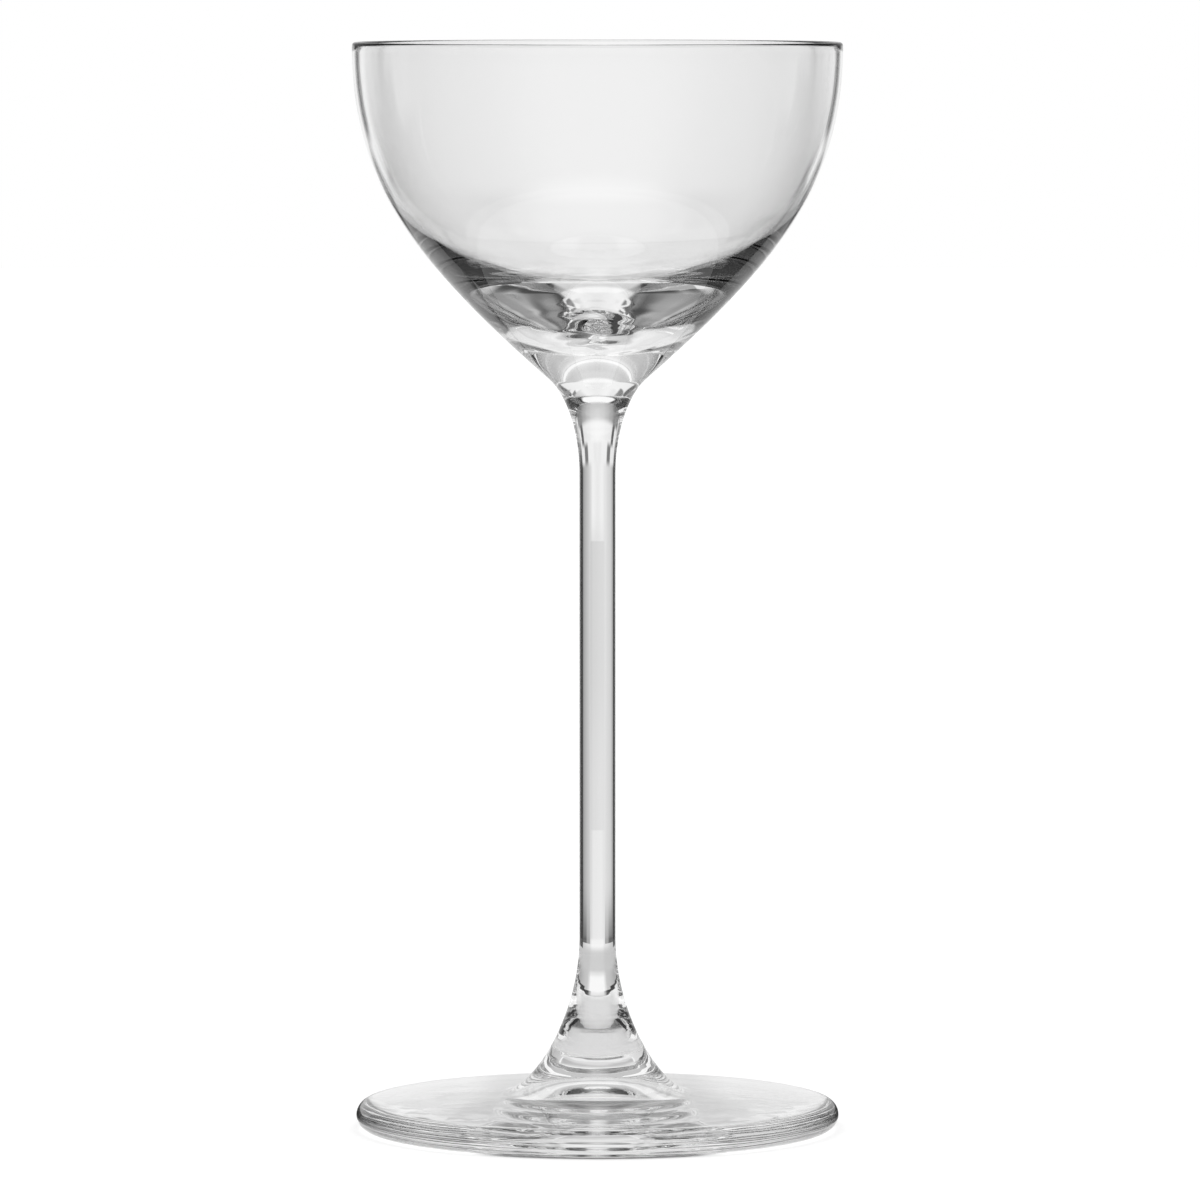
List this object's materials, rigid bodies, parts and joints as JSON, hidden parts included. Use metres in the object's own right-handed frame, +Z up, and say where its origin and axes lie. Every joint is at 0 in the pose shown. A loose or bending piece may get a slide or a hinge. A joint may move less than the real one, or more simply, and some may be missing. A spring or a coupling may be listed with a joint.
{
  "type": "nick and nora glass",
  "caption": "Stemmed cocktail glass with a deep round bowl, a fine rim, a slim straight stem flaring into a thick round foot, for serving drinks without ice.",
  "frame": {"origin": "centre of the resting ring under the foot, on the table's surface", "axes": "+Z up the stem to the rim; the glass is round, so +X and +Y are any two directions across it"},
  "size_m": [0.08, 0.08, 0.178],
  "materials": {
    "bowl_glass": "clear blown glass, fire-polished",
    "stem_glass": "clear drawn glass, fire-polished",
    "foot_glass": "clear pressed glass, fire-polished"
  },
  "bodies": {
    "root": {"bowl": "bowl_glass", "stem": "stem_glass", "foot": "foot_glass"}
  },
  "joints": []
}
